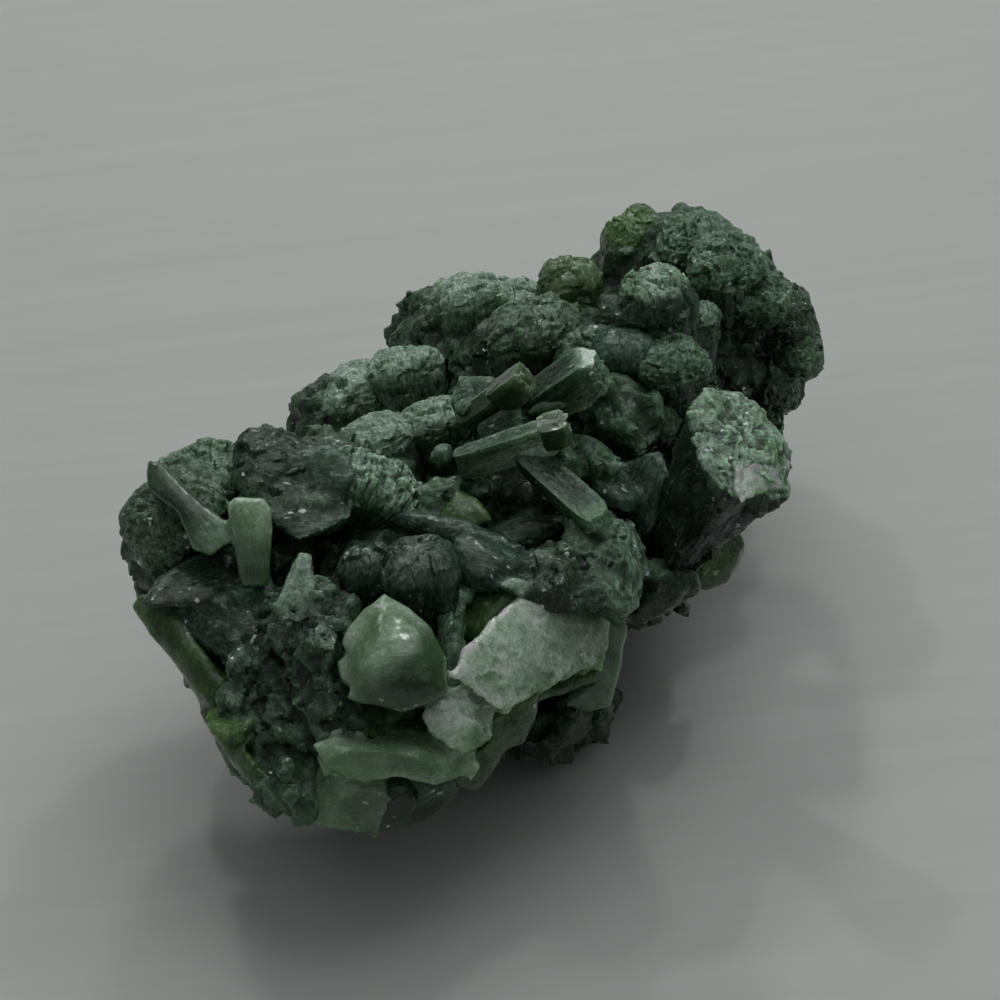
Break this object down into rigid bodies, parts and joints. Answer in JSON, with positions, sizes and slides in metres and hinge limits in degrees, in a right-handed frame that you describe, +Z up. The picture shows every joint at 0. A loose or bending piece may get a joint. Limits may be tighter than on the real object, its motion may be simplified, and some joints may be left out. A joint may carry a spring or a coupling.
{
  "type": "rough prehnite crystal cluster",
  "caption": "Rough cluster of grey-green prehnite: fans, blades and blocks of crystal grown together, resting on flats worn on its underside.",
  "frame": {"origin": "middle of the cluster's footprint, on the surface it rests on", "axes": "+Z up, +Y along the longest side of the footprint, from the overhanging front to the tall back, +X to the right seen from the front"},
  "size_m": [0.0606, 0.0694, 0.0336],
  "materials": {
    "prehnite": "translucent grey-green crystal with a waxy to glassy shine, paler at the crystal tips and olive in the thin edges"
  },
  "bodies": {
    "root": {"prehnite_cluster": "prehnite"}
  },
  "joints": []
}
